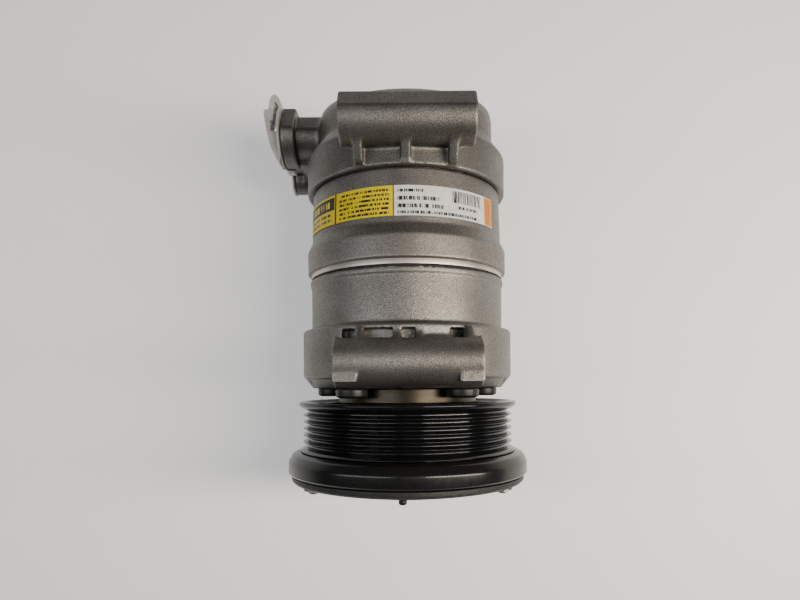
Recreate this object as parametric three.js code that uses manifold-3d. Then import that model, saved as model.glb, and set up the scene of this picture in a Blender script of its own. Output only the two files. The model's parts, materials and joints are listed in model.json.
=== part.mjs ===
// Automotive air-conditioning compressor: five cylinders, wobble plate, electromagnetic clutch.
// Millimetres. +Y runs along the shaft from the clutch to the rear head, +Z is up, towards the
// two mounting tubes, and the port flange faces -X. The origin is the centre of the shaft's
// front end face.

import * as THREE from 'three';
import { mergeVertices } from 'three/addons/utils/BufferGeometryUtils.js';
import Module from 'manifold-3d';

const wasm = await Module();
wasm.setup();

// ---- driving dimensions ------------------------------------------------------------------

const GAP = 0.3;                    // between two pieces that touch
const FINE = 32;                    // sides of the large round pieces
const ROUND = 20;                   // sides of the middle-sized ones
const SMALL = 8;                    // sides of bolts and rods

const TILT = THREE.MathUtils.degToRad(5.5);   // wobble plate to the shaft's square plane
const WOBBLE_Y = 101;               // where the plane of the rods' sockets crosses the shaft axis
const CYLINDERS = 5;
const CYLINDER_PITCH = 30;          // radius that the cylinders stand on
const BORE = 14.2;                  // cylinder radius
const PISTON_RADIUS = 13.6;
const PISTON_BACK = 36;             // from the middle of the rod's ball
const PISTON_TOP = 60;

const BOLT_PITCH = 46;              // radius that the through bolts stand on
const BOLT_RADIUS = 3;
const BOLT_HOLE = 3.3;
const BOLT_HEAD_RADIUS = 8;
const BOLT_END = 180;
const BOLT_ANGLES = [-108, -36, 36, 108, 180];   // degrees from +Z

const HEAD_FRONT = 61.6;            // front head's front face
const HEAD_REAR = 118.4;
const RING_RADIUS = 56.5;           // thick ring round the front head
const RING_FRONT = 68;
const RING_REAR = 91.5;
const BODY_RADIUS = 51.8;
const CAVITY_RADIUS = 48.4;         // crankcase
const CAVITY_FRONT = 71.6;
const NOSE_RADIUS = 16.8;           // tube that carries the pulley bearing
const NOSE_FRONT = 27;

const BLOCK_FRONT = HEAD_REAR + 1.1;
const BLOCK_REAR = 164.6;
const REAR_FRONT = 165;             // rear head's rim edge
const REAR_FLOOR = 171.9;           // inside the rear head's recess
const REAR_END = 214;
const RECESS_RADIUS = 49.2;         // holds the valve plate stack
const RIM_RADIUS = 53.5;
const REAR_RADIUS = 47;

const TUBE_RADIUS = 11.5;           // mounting tubes
const TUBE_BORE = 5.4;
const TUBE_Z = 55;
const FRONT_TUBE_Y = 74;
const FRONT_TUBE_X = [-33, 34.4];
const REAR_TUBE_Y = 184.7;
const REAR_TUBE_X = [-30.3, 32];

const PULLEY_RIDGE = 56.9;
const PULLEY_VALLEY = 54.2;
const GROOVES = 6;
const GROOVE_PITCH = 3.56;
const FIRST_VALLEY = 31.42;
const FRICTION_FACE = 16.1;
const AIR_GAP = 0.6;
const ARMATURE_REAR = FRICTION_FACE - AIR_GAP;
const ARMATURE_FRONT = 11.3;
const RIVET_PITCH = 55;
const RIVET_ANGLES = [-60, 60, 180];
const PIN_PITCH = 56.6;             // balance pin on the armature
const PIN_ANGLE = -2.4;

const COIL_FLANGE = 37.6;           // foot of the coil housing, between the bolt heads
const CONNECTOR_ANGLE = 144;        // coil connector, degrees from +Z

// The port flange is two round lobes, the suction port's and the smaller discharge port's.
const SUCTION = { y: 201.5, z: -3, lobe: 15.8, neck: 11, port: 6.5, end: -16 };
const DISCHARGE = { y: 190.3, z: -37, lobe: 8.5, neck: 7.2, port: 5.2, end: -16 };
const PORT_WEB = [[191.5, -12], [185.6, -31], [198, -38], [212, -12]];
const PORT_OUT = -67.4;
const PORT_BACK = -60;
const PORT_JOINT = -48;             // where the flange's necks meet the rear head
const PORT_FLOOR = -50;             // end of each port's wide part
const PORT_PASSAGE = 3.6;
const CAP_WALL = 1.4;
const CAP_EDGE = 0.7;               // how far the cap stands out past the flange
const HANDLE_Z = -3;                // lower side of the cap's handle

// ---- materials ---------------------------------------------------------------------------

function finish(color, roughness, metalness) {
  return new THREE.MeshStandardMaterial({ color, roughness, metalness });
}

const CAST = finish(0x8f8c84, 0.62, 0.85);
const STEEL = finish(0xa7a7a6, 0.35, 1);
const BLACK_PAINT = finish(0x17171a, 0.4, 0.2);
const BLACK_OXIDE = finish(0x1c1b1b, 0.5, 0.6);
const RUBBER = finish(0x161616, 0.85, 0);
const PLASTIC = finish(0x1f1f20, 0.6, 0);
const COPPER = finish(0x9a5a32, 0.45, 0.9);
const BRASS = finish(0xb29a55, 0.35, 1);
const PISTON_COAT = finish(0x6f7377, 0.4, 0.6);
const LABEL = finish(0xc9b21e, 0.5, 0);
const CAP = finish(0xb9b9ae, 0.45, 0);

// ---- helpers -----------------------------------------------------------------------------

const object = new THREE.Group();
object.name = 'ac_compressor';

function solid(geometry, matrix) {
  const bare = geometry.clone();
  if (matrix) {
    bare.applyMatrix4(matrix);
  }
  bare.deleteAttribute('normal');
  bare.deleteAttribute('uv');
  const merged = mergeVertices(bare, 1e-4);
  const made = new wasm.Manifold(new wasm.Mesh({
    numProp: 3,
    vertProperties: new Float32Array(merged.attributes.position.array),
    triVerts: new Uint32Array(merged.index.array),
  }));
  return made;
}

function add(name, shape, material) {
  const mesh = shape.getMesh();
  const geometry = new THREE.BufferGeometry();
  geometry.setAttribute('position', new THREE.BufferAttribute(mesh.vertProperties, 3));
  geometry.setIndex(new THREE.BufferAttribute(mesh.triVerts, 1));
  geometry.computeVertexNormals();
  const node = new THREE.Mesh(geometry, material);
  node.name = name;
  object.add(node);
}

function place(x, y, z, turnX = 0, turnY = 0, turnZ = 0) {
  const turn = new THREE.Quaternion().setFromEuler(new THREE.Euler(turnX, turnY, turnZ));
  return new THREE.Matrix4().compose(new THREE.Vector3(x, y, z), turn, new THREE.Vector3(1, 1, 1));
}

// A closed outline of [radius, y] turned about the Y axis. It is put in the order that makes
// the faces point out.
function turned(outline, sides = ROUND, matrix) {
  let area = 0;
  outline.forEach(([r, y], i) => {
    const [nextR, nextY] = outline[(i + 1) % outline.length];
    area += r * nextY - nextR * y;
  });
  const ordered = area > 0 ? outline : [...outline].reverse();
  const start = ordered.findIndex(([r], i) => r === 0 && ordered.at(i - 1)[0] === 0);
  const rolled = start < 0 ? ordered : [...ordered.slice(start), ...ordered.slice(0, start)];
  const points = rolled.map(([r, y]) => new THREE.Vector2(r, y));
  if (start < 0) {
    points.push(points[0].clone());
  }
  return solid(new THREE.LatheGeometry(points, sides), matrix);
}

function rod(radius, from, to, sides = SMALL, x = 0, z = 0) {
  return solid(new THREE.CylinderGeometry(radius, radius, to - from, sides), place(x, (from + to) / 2, z));
}

function ring(inner, outer, from, to, sides = ROUND) {
  return turned([[inner, from], [outer, from], [outer, to], [inner, to]], sides);
}

function rodX(radius, from, to, y, z, sides = ROUND) {
  const shape = new THREE.CylinderGeometry(radius, radius, to - from, sides);
  return solid(shape, place((from + to) / 2, y, z, 0, 0, -Math.PI / 2));
}

function box(x0, x1, y0, y1, z0, z1) {
  const shape = new THREE.BoxGeometry(x1 - x0, y1 - y0, z1 - z0);
  return solid(shape, place((x0 + x1) / 2, (y0 + y1) / 2, (z0 + z1) / 2));
}

// A flat outline in the plane square to X, as thick as from x0 to x1. Its points are [y, z].
function plateX(shape, x0, x1, curveSegments = 8) {
  const made = new THREE.ExtrudeGeometry(shape, { depth: x1 - x0, bevelEnabled: false, curveSegments });
  const toX = new THREE.Matrix4().makeBasis(
    new THREE.Vector3(0, 1, 0), new THREE.Vector3(0, 0, 1), new THREE.Vector3(1, 0, 0));
  return solid(made, toX.setPosition(x0, 0, 0));
}

function at(radius, degrees) {
  const angle = THREE.MathUtils.degToRad(degrees);
  return [radius * Math.sin(angle), radius * Math.cos(angle)];
}

function roundedShape(halfY, halfZ, corner, centreY, centreZ) {
  const shape = new THREE.Shape();
  shape.moveTo(centreY + halfY, centreZ - halfZ + corner);
  shape.lineTo(centreY + halfY, centreZ + halfZ - corner);
  shape.absarc(centreY + halfY - corner, centreZ + halfZ - corner, corner, 0, Math.PI / 2);
  shape.absarc(centreY - halfY + corner, centreZ + halfZ - corner, corner, Math.PI / 2, Math.PI);
  shape.absarc(centreY - halfY + corner, centreZ - halfZ + corner, corner, Math.PI, Math.PI * 1.5);
  shape.absarc(centreY + halfY - corner, centreZ - halfZ + corner, corner, Math.PI * 1.5, Math.PI * 2);
  return shape;
}

function withBoltHoles(shape, from, to) {
  return BOLT_ANGLES.reduce((cut, degrees) => {
    const [x, z] = at(BOLT_PITCH, degrees);
    return cut.subtract(rod(BOLT_HOLE, from, to, SMALL, x, z));
  }, shape);
}

function cylinderAngle(index) {
  return (360 / CYLINDERS) * index;
}

function withCylinders(shape, radius, from, to, sides) {
  let cut = shape;
  for (let index = 0; index < CYLINDERS; index += 1) {
    const [x, z] = at(CYLINDER_PITCH, cylinderAngle(index));
    cut = cut.subtract(rod(radius, from, to, sides, x, z));
  }
  return cut;
}

// ---- front head --------------------------------------------------------------------------

function frontHead() {
  const outline = [
    [9.6, NOSE_FRONT], [NOSE_RADIUS, NOSE_FRONT], [NOSE_RADIUS, 56], [21, 60.5], [21, HEAD_FRONT],
    [51.4, HEAD_FRONT], [RING_RADIUS, RING_FRONT], [RING_RADIUS, RING_REAR - 3],
    [55.6, RING_REAR - 0.9], [53.5, RING_REAR], [BODY_RADIUS, RING_REAR + 1], [BODY_RADIUS, 115],
    [52.5, 116.2], [52.5, HEAD_REAR], [16, HEAD_REAR], [16, 66], [9.6, 66],
  ];
  let shape = turned(outline, FINE);
  const [x0, x1] = FRONT_TUBE_X;
  shape = shape.add(mountingTube(x0, x1, FRONT_TUBE_Y));
  for (const [from, to] of [[x0 + 1.5, x0 + 6.5], [-2.5, 2.5], [x1 - 6.5, x1 - 1.5]]) {
    shape = shape.add(box(from, to, RING_FRONT + 1, RING_REAR - 0.8, 36, 58.5));
  }
  shape = shape.add(box(x0 + 1, x1 - 1, 66.5, 80, 44, 56));
  shape = shape.subtract(rod(CAVITY_RADIUS, CAVITY_FRONT, HEAD_REAR + 2, FINE));
  shape = shape.subtract(rodX(TUBE_BORE, x0 - 2, x1 + 2, FRONT_TUBE_Y, TUBE_Z, ROUND));
  return withBoltHoles(shape, HEAD_FRONT - 1, HEAD_REAR + 1);
}

function mountingTube(x0, x1, y) {
  const pad = 11;
  let tube = rodX(TUBE_RADIUS, x0, x1, y, TUBE_Z);
  for (const [from, to] of [[x0, x0 + pad], [x1 - pad, x1]]) {
    tube = tube.add(box(from, to, y - TUBE_RADIUS - 0.4, y - 4, TUBE_Z - 9.5, TUBE_Z + 6.5));
  }
  return tube;
}

// ---- cylinder block ----------------------------------------------------------------------

function cylinderBlock() {
  const outline = [
    [10.4, BLOCK_FRONT], [52, BLOCK_FRONT], [52, 122.1], [53.8, 122.1], [53.8, 133.4],
    [53.2, 134.5], [51.6, 136.5], [51.3, 138.5], [50.5, BLOCK_REAR], [10.4, BLOCK_REAR],
  ];
  const shape = withCylinders(turned(outline, FINE), BORE, BLOCK_FRONT - 1, BLOCK_REAR + 1, ROUND);
  return withBoltHoles(shape, BLOCK_FRONT - 1, BLOCK_REAR + 1);
}

// ---- rear head ---------------------------------------------------------------------------

function rearHead() {
  const outline = [
    [0, REAR_FRONT], [RIM_RADIUS, REAR_FRONT],
    [RIM_RADIUS, 182.2], [RIM_RADIUS - 0.8, 183.4], [REAR_RADIUS + 0.6, 190.6], [REAR_RADIUS, 192.4],
    [REAR_RADIUS, REAR_END - 9], [REAR_RADIUS - 1.6, REAR_END - 4], [REAR_RADIUS - 5, REAR_END - 1],
    [REAR_RADIUS - 8.5, REAR_END], [0, REAR_END],
  ];
  const dome = turned([[0, REAR_FRONT], [113, REAR_FRONT], [64, REAR_END], [0, REAR_END]], FINE,
    place(0, 0, -35));
  let shape = turned(outline, FINE).intersect(dome);
  const [x0, x1] = REAR_TUBE_X;
  shape = shape.add(rodX(TUBE_RADIUS, x0, x1, REAR_TUBE_Y, TUBE_Z));
  for (const x of [-22, 0, 22]) {
    shape = shape.add(box(x - 2.5, x + 2.5, 166, 192, 40, 56));
  }
  shape = shape.add(box(x0 + 1.5, x1 - 1.5, 177, 194, 38, 52));
  for (const { y, z, neck } of [SUCTION, DISCHARGE]) {
    shape = shape.add(rodX(neck, PORT_JOINT + GAP / 2, -22, y, z));
  }
  shape = shape.subtract(rod(RECESS_RADIUS, REAR_FRONT - 3, REAR_FLOOR, FINE));
  shape = shape.subtract(rodX(TUBE_BORE, x0 - 2, x1 + 2, REAR_TUBE_Y, TUBE_Z, 12));
  for (const [inner, outer] of [[8, 22], [26, 43]]) {
    shape = shape.subtract(ring(inner, outer, REAR_FLOOR - 1, REAR_FLOOR + 14, ROUND));
  }
  for (const { y, z, end } of [SUCTION, DISCHARGE]) {
    shape = shape.subtract(rodX(PORT_PASSAGE, PORT_JOINT - 1, end, y, z, SMALL));
    shape = shape.subtract(rod(3, REAR_FLOOR + 12, y, SMALL, end + 3, z));
  }
  shape = shape.subtract(rod(8.3, 190, REAR_END + 1, ROUND, 20, -16));
  shape = shape.subtract(rod(6.3, 204, REAR_END + 1, ROUND, -12, -30));
  return withBoltHoles(shape, REAR_FRONT - 1, BOLT_END + 1);
}

// ---- port flange -------------------------------------------------------------------------

function portFlange() {
  let flange = portPlate(0, PORT_OUT, PORT_BACK);
  for (const { y, z, neck, port } of [SUCTION, DISCHARGE]) {
    flange = flange.add(rodX(neck, PORT_BACK - 0.5, PORT_JOINT - GAP / 2, y, z));
    flange = flange.subtract(rodX(port, PORT_OUT - 1, PORT_FLOOR, y, z));
    flange = flange.subtract(rodX(PORT_PASSAGE, PORT_FLOOR - 0.5, PORT_JOINT + 1, y, z, SMALL));
  }
  return flange;
}

// A plate square to X with the flange's outline, let out all round by the edge.
function portPlate(edge, x0, x1) {
  const web = new THREE.Shape(PORT_WEB.map(([y, z]) => new THREE.Vector2(y, z)));
  return [SUCTION, DISCHARGE].reduce(
    (plate, { y, z, lobe }) => plate.add(rodX(lobe + edge, x0, x1, y, z)),
    plateX(web, x0, x1));
}

// ---- valve plate stack and seals ---------------------------------------------------------

function stackPlate(radius, from, to, hole) {
  let plate = ring(3, radius, from, to, FINE);
  plate = withCylinders(plate, hole, from - 1, to + 1, SMALL);
  return withBoltHoles(plate, from - 1, to + 1);
}

// ---- clutch ------------------------------------------------------------------------------

function pulleyRotor() {
  const outline = [[26.4, FRICTION_FACE], [52.6, FRICTION_FACE], [52.6, 28.3], [59.2, 28.3]];
  for (let groove = 0; groove < GROOVES; groove += 1) {
    const valley = FIRST_VALLEY + groove * GROOVE_PITCH;
    outline.push([PULLEY_RIDGE, valley - GROOVE_PITCH / 2], [PULLEY_VALLEY, valley]);
  }
  outline.push([58.8, 52.3], [59.4, 53.4], [58.9, 54.6], [56.4, 54.6], [50.6, 49]);
  outline.push([50.6, 24], [31, 24], [31, 52], [26.4, 52]);
  return turned(outline, FINE);
}

function rimBand() {
  return turned([
    [52.9, 16.3], [63.9, 16.3], [64.8, 17.2], [64.8, 22.8], [64.2, 24.8], [62.4, 26.6], [59.6, 28],
    [52.9, 28],
  ], FINE);
}

function armaturePlate() {
  const plate = turned([
    [34, ARMATURE_FRONT], [58.5, ARMATURE_FRONT], [61.9, 12.1], [63.1, 13.2], [63.1, ARMATURE_REAR],
    [34, ARMATURE_REAR],
  ], FINE);
  return RIVET_ANGLES.reduce((cut, degrees) => {
    const [x, z] = at(RIVET_PITCH, degrees);
    return cut.subtract(rod(2.4, ARMATURE_FRONT - 1, 14, SMALL, x, z));
  }, plate);
}

function rivet(degrees) {
  const [x, z] = at(RIVET_PITCH, degrees);
  const outline = [[0, 8], [1.8, 8], [3, 8.7], [3.3, 9.6], [2.1, 9.6], [2.1, 13.6], [0, 13.6]];
  return turned(outline, SMALL, place(x, 0, z));
}

// A leaf runs from its rivet inwards to the hub's flange, and is bolted down at both ends.
function leafSpring(degrees) {
  const length = 32;
  const leaf = new THREE.Shape();
  leaf.absarc(0, 0, 5, 0, Math.PI);
  leaf.absarc(0, -length, 5, Math.PI, Math.PI * 2);
  const flat = new THREE.ExtrudeGeometry(leaf, { depth: 1, bevelEnabled: false, curveSegments: 5 });
  const lean = THREE.MathUtils.degToRad(38);
  const outward = new THREE.Matrix4().makeRotationY(THREE.MathUtils.degToRad(degrees));
  const lay = new THREE.Matrix4().makeBasis(
    new THREE.Vector3(1, 0, 0), new THREE.Vector3(0, 0, 1), new THREE.Vector3(0, -1, 0));
  const matrix = outward
    .multiply(place(0, ARMATURE_FRONT - GAP, RIVET_PITCH, 0, lean, 0))
    .multiply(lay);
  const [x, z] = at(RIVET_PITCH, degrees);
  return solid(flat, matrix).subtract(rod(2.4, 5, 14, SMALL, x, z));
}

function clutchHub() {
  const flange = turned([
    [6.9, 3.6], [12.5, 3.6], [13.5, 4.6], [13.5, 7], [39, 7], [39, 9.4], [15, 9.4], [13, 12], [13, 22],
    [6.9, 22],
  ], ROUND);
  return flange.subtract(box(-1.9, 1.9, 2, 23, 5, 8.9));
}

function coilHousing() {
  return turned([
    [32.5, 30], [33.8, 30], [33.8, 51.3], [47, 51.3], [47, 30], [48.4, 30], [48.4, 52.6], [47.6, 53.4],
    [COIL_FLANGE, 54], [COIL_FLANGE, 61.2], [32.5, 61.2],
  ], FINE);
}

// The socket for the coil's lead stands out of the gap between the pulley and the front head.
function coilConnector() {
  const turn = place(0, 0, 0, 0, THREE.MathUtils.degToRad(CONNECTOR_ANGLE), 0);
  const shell = box(-8, 8, 55.6, 61.2, COIL_FLANGE + 0.4, 61).subtract(box(-6.4, 6.4, 56.9, 59.9, 52, 62));
  return shell.transform(turn.elements);
}

// ---- shaft group -------------------------------------------------------------------------

function shaft() {
  const outline = [
    [0, 0], [3.6, 0], [4.4, 1], [4.4, 9], [6.5, 10], [6.5, 60], [7.6, 62], [7.6, 160], [0, 160],
  ];
  return turned(outline, ROUND).subtract(box(-1.9, 1.9, 11, 19, 4.4, 8.6));
}

function driveLug() {
  const disc = turned([[7.9, 77], [33, 77], [33, 82], [14, 84], [7.9, 84]], ROUND);
  const ears = box(-11, -7.4, 80, 86.8, 16, 26).add(box(7.4, 11, 80, 86.8, 16, 26));
  return disc.add(ears);
}

const tiltedMatrix = place(0, WOBBLE_Y, 0, TILT, 0, 0);

function journal() {
  const disc = turned([
    [11.6, -11.6], [30, -11.6], [31, -10.6], [31, -6.5], [17, -6.5], [17, 1], [11.6, 1],
  ], ROUND, tiltedMatrix);
  return disc.add(box(-6.9, 6.9, 84.6, 90, 15.5, 24));
}

function socketCentre(index) {
  const [x, z] = at(CYLINDER_PITCH, cylinderAngle(index));
  return new THREE.Vector3(x, 0, z).applyMatrix4(tiltedMatrix);
}

function wobblePlate() {
  let plate = turned([
    [17.4, -6.2], [37.5, -6.2], [38.5, -5.2], [38.5, 1], [37.5, 2], [17.4, 2],
  ], FINE);
  for (let index = 0; index < CYLINDERS; index += 1) {
    const [x, z] = at(CYLINDER_PITCH, cylinderAngle(index));
    const boss = turned([[0, -5], [7, -5], [7, 4.2], [6.4, 5], [0, 5]], SMALL, place(x, 0, z));
    const pocket = turned([[0, -4.2], [3.4, -4.2], [5.4, -2], [5.4, 8], [0, 8]], SMALL, place(x, 0, z));
    plate = plate.add(boss).subtract(pocket);
  }
  const ear = box(-8, 8, -6.2, 2, 36.4, 46.4).subtract(box(-3.7, 3.7, -8, 4, 39.2, 50));
  return plate.add(ear).transform(tiltedMatrix.elements);
}

// ---- pistons and rods --------------------------------------------------------------------

function connectingRod(index) {
  const centre = socketCentre(index);
  const outline = [
    [0, -3.4], [3.2, -3.4], [4.7, -1.2], [4.7, 1.2], [3.2, 3.4], [2.6, 5], [2.6, PISTON_BACK + 4],
    [4.4, PISTON_BACK + 6], [4.4, PISTON_BACK + 11], [0, PISTON_BACK + 13],
  ];
  return turned(outline, SMALL, place(centre.x, centre.y, centre.z));
}

function piston(index) {
  const centre = socketCentre(index);
  const wall = PISTON_RADIUS - 1.6;
  const outline = [
    [wall, PISTON_BACK], [PISTON_RADIUS, PISTON_BACK], [PISTON_RADIUS, PISTON_TOP], [0, PISTON_TOP],
    [0, PISTON_BACK + 14], [5.2, PISTON_BACK + 12], [5.2, PISTON_BACK + 4.6], [6.8, PISTON_BACK + 4.6],
    [wall, PISTON_BACK + 15],
  ];
  return turned(outline, ROUND, place(centre.x, centre.y, centre.z));
}

// ---- shipping cap ------------------------------------------------------------------------

// A flat cover with a hollow plug in the suction port, and a pull loop on its outer face.
function shippingCap() {
  const x = PORT_OUT - GAP;
  const { y, z, port } = SUCTION;
  const plug = rodX(port - 0.6, x - 0.5, x + 4.5, y, z).subtract(rodX(port - 1.5, x, x + 6, y, z));
  const cover = portPlate(CAP_EDGE, x - CAP_WALL, x).add(plug);
  const outline = [[x - 1, 184], [x - 3.1, 187.1], [x - 6.3, 193.7], [x - 8.3, 201.6],
    [x - 10.1, 212.8], [x - 9.3, 214], [x - 7.3, 214], [x - 6.4, 219.3], [x - 5.2, 221.4],
    [x - 3.7, 222.2], [x - 2.3, 221.4], [x - 0.9, 219.3], [x - 0.4, 215]];
  const opening = [[x - 3.5, 218.2], [x - 4.7, 208], [x - 6.1, 207.6], [x - 5.7, 202.4],
    [x - 3.1, 201.8], [x - 2.3, 209.5], [x - 1.9, 213.3], [x - 2, 216]];
  return cover.add(stripZ(outline).subtract(stripZ(opening, 1)));
}

// A flat outline in the plane square to Z, across the handle's width and a margin.
function stripZ(points, margin = 0) {
  const shape = new THREE.Shape(points.map(([x, y]) => new THREE.Vector2(x, y)));
  const strip = new THREE.ExtrudeGeometry(shape, { depth: 9 + 2 * margin, bevelEnabled: false });
  return solid(strip, place(0, 0, HANDLE_Z - margin));
}

// ---- assembly ----------------------------------------------------------------------------

add('front_head', frontHead(), CAST);
add('cylinder_block', cylinderBlock(), CAST);
add('rear_head', rearHead(), CAST);
add('port_flange', portFlange(), CAST);
add('suction_reed', stackPlate(48.8, 164.9, 165.4, 3), STEEL);
add('valve_plate', stackPlate(48.8, 165.7, 169.9, 2.6), STEEL);
add('discharge_reed', stackPlate(48.8, 170.2, 170.7, 3), STEEL);
add('head_gasket', stackPlate(48.8, 171, 171.6, 3), RUBBER);
add('body_gasket', withBoltHoles(ring(44.8, 51.6, HEAD_REAR + GAP, BLOCK_FRONT - GAP, FINE), 118, 120), RUBBER);

BOLT_ANGLES.forEach((degrees, index) => {
  const [x, z] = at(BOLT_PITCH, degrees);
  const front = HEAD_FRONT - GAP;
  const outline = [
    [0, front - 4.5], [BOLT_HEAD_RADIUS - 1.2, front - 4.5], [BOLT_HEAD_RADIUS, front - 3.4],
    [BOLT_HEAD_RADIUS, front], [BOLT_RADIUS, front], [BOLT_RADIUS, BOLT_END], [0, BOLT_END],
  ];
  add(`through_bolt_${index + 1}`, turned(outline, SMALL, place(x, 0, z)), BLACK_OXIDE);
});

add('coil_housing', coilHousing(), STEEL);
add('coil_winding', ring(34.1, 46.7, 31, 51, FINE), COPPER);
add('coil_connector', coilConnector(), PLASTIC);
add('pulley_bearing_inner', ring(NOSE_RADIUS + GAP, 19.6, 30, 50), STEEL);
add('pulley_bearing_outer', ring(22.6, 26.1, 30, 50), STEEL);
add('bearing_balls_cage', ring(20.1, 22.1, 32, 48), BRASS);
add('shaft_seal', ring(7, 9.3, 30, 40), RUBBER);
add('seal_retainer', ring(7.4, 9.3, 27.4, 29), STEEL);
add('front_bearing', ring(7.9, 15.7, 66.4, 71.3), STEEL);
add('rear_bearing', ring(7.9, 10.1, 140, 158), STEEL);
add('thrust_race', ring(9, 30, 72, 76.7), STEEL);
add('guide_rod', rod(3, CAVITY_FRONT + GAP, HEAD_REAR, SMALL, 0, 43.2), STEEL);
add('control_valve', turned([
  [0, 191], [5.5, 191], [5.5, 198], [8, 199], [8, 211], [0, 211],
], ROUND, place(20, 0, -16)), BRASS);
add('control_valve_clip', turned([
  [3, 211.3], [8, 211.3], [8, 212.6], [3, 212.6],
], ROUND, place(20, 0, -16)), STEEL);
add('relief_valve', turned([
  [0, 205], [6, 205], [6, REAR_END + 0.4], [8.6, REAR_END + 0.4], [8.6, REAR_END + 3.6],
  [7.6, REAR_END + 4.4], [0, REAR_END + 4.4],
], 6 * 3, place(-12, 0, -30)), BRASS);

add('shaft', shaft(), STEEL);
add('shaft_key', box(-1.6, 1.6, 11.3, 18.7, 4.7, 8.3), STEEL);
add('shaft_nut', rod(8.4, 0.8, 3.3, 6).subtract(rod(4.7, 0, 4, ROUND)), STEEL);
add('clutch_hub', clutchHub(), BLACK_OXIDE);
add('drive_lug', driveLug(), STEEL);
add('journal', journal(), STEEL);
add('sleeve', ring(7.9, 9.6, 86, 103), STEEL);
add('return_spring', ring(8, 10.6, 103.3, 118), STEEL);

add('pulley_rotor', pulleyRotor(), BLACK_PAINT);
add('rim_band', rimBand(), BLACK_PAINT);

add('armature_plate', armaturePlate(), BLACK_OXIDE);
RIVET_ANGLES.forEach((degrees, index) => {
  add(`rivet_${index + 1}`, rivet(degrees), STEEL);
  add(`leaf_spring_${index + 1}`, leafSpring(degrees), STEEL);
});

const [pinX, pinZ] = at(PIN_PITCH, PIN_ANGLE);
add('balance_pin', turned([[0, 8.7], [1.5, 8.7], [1.9, 9.3], [1.9, 11], [0, 11]], SMALL,
  place(pinX, 0, pinZ)), BLACK_OXIDE);

add('wobble_plate', wobblePlate(), CAST);
for (let index = 0; index < CYLINDERS; index += 1) {
  add(`connecting_rod_${index + 1}`, connectingRod(index), STEEL);
  add(`piston_${index + 1}`, piston(index), PISTON_COAT);
}

add('label', turned([
  [51.6, 141.8], [51.9, 141.8], [51.5, 156], [51.2, 156],
], FINE).intersect(box(-60, 60, 130, 160, 12, 60)), LABEL);
add('shipping_cap', shippingCap(), CAP);

export default object;
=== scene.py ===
"""Looks of the AC compressor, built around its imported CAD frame.

Shapes are written in millimetres, in the frame's own axes (+Y along the shaft, +Z up), and turned
into metres when a mesh is made. Castings are distance fields, so that every join gets a fillet.
"""
import json
import math
import bmesh
import bpy
import numpy as np
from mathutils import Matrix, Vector


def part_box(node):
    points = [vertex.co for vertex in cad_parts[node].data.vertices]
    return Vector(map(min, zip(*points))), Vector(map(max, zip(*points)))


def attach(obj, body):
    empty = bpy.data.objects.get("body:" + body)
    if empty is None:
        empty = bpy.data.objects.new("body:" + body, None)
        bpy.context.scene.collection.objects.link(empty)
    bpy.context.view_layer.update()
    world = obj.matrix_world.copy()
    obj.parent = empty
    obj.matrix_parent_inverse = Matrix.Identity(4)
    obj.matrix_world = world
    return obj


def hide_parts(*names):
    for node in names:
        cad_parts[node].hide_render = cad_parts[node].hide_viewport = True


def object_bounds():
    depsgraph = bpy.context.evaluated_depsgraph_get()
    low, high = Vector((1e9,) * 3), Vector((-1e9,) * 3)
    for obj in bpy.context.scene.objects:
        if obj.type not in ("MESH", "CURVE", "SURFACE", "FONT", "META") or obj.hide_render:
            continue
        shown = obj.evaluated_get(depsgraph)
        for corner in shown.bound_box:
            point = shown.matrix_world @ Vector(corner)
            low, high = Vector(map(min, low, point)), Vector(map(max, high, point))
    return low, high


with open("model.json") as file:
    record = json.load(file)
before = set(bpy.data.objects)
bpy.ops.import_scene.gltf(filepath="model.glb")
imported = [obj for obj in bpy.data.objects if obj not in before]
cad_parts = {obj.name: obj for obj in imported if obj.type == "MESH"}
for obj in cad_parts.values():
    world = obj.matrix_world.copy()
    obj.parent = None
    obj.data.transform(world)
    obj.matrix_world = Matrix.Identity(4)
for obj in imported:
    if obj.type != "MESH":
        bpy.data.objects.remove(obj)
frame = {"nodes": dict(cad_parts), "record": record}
cad_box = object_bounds()

MM = 0.001
GAP = 0.3                                     # between pieces that touch
CELL = 0.75            # size of the casting grids' cells
TURNS = 192             # sides of the turned pieces


def low(node, axis):
    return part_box(node)[0][axis] / MM


def high(node, axis):
    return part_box(node)[1][axis] / MM


def corners(node):
    return [[v / MM for v in corner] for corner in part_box(node)]


# ---- places and sizes: read from the frame, or repeated from the CAD ------------------------

HEAD_REAR = high("front_head", 1)
BLOCK_FRONT = low("cylinder_block", 1)
BLOCK_REAR = high("cylinder_block", 1)
REAR_FRONT = low("rear_head", 1)
REAR_END = high("rear_head", 1)
NOSE_FRONT = low("front_head", 1)
HEAD_FRONT = high("coil_housing", 1) + 0.4    # the coil housing's foot stands this far off it
RIM_RADIUS = high("rear_head", 0)
RING_RADIUS = high("front_head", 0)
TUBE_TOP = high("front_head", 2)
TUBE_RADIUS = 11.5
TUBE_BORE = 5.4
TUBE_Z = TUBE_TOP - TUBE_RADIUS
FRONT_TUBE_Y = 74
FRONT_TUBE_X = (-33, 34.4)
REAR_TUBE_Y = 184.7
REAR_TUBE_X = (-30.3, 32)
BOLT_PITCH = 46
BOLT_HOLE = 3.3
BOLT_ANGLES = (-108, -36, 36, 108, 180)
CYLINDERS = 5
CYLINDER_PITCH = 30
BORE = 14.2
CAVITY_RADIUS = 48.4
CAVITY_FRONT = 71.6
RECESS_RADIUS = 49.2
REAR_FLOOR = 171.9
CONTROL_VALVE = (20, -16)                     # x and z of its axis
CONTROL_BORE = 8.3
RELIEF_VALVE = (-12, -30)
RELIEF_BORE = 6.3
PORT_OUT = low("port_flange", 0)
PORT_BACK = PORT_OUT + 7.4
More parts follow.
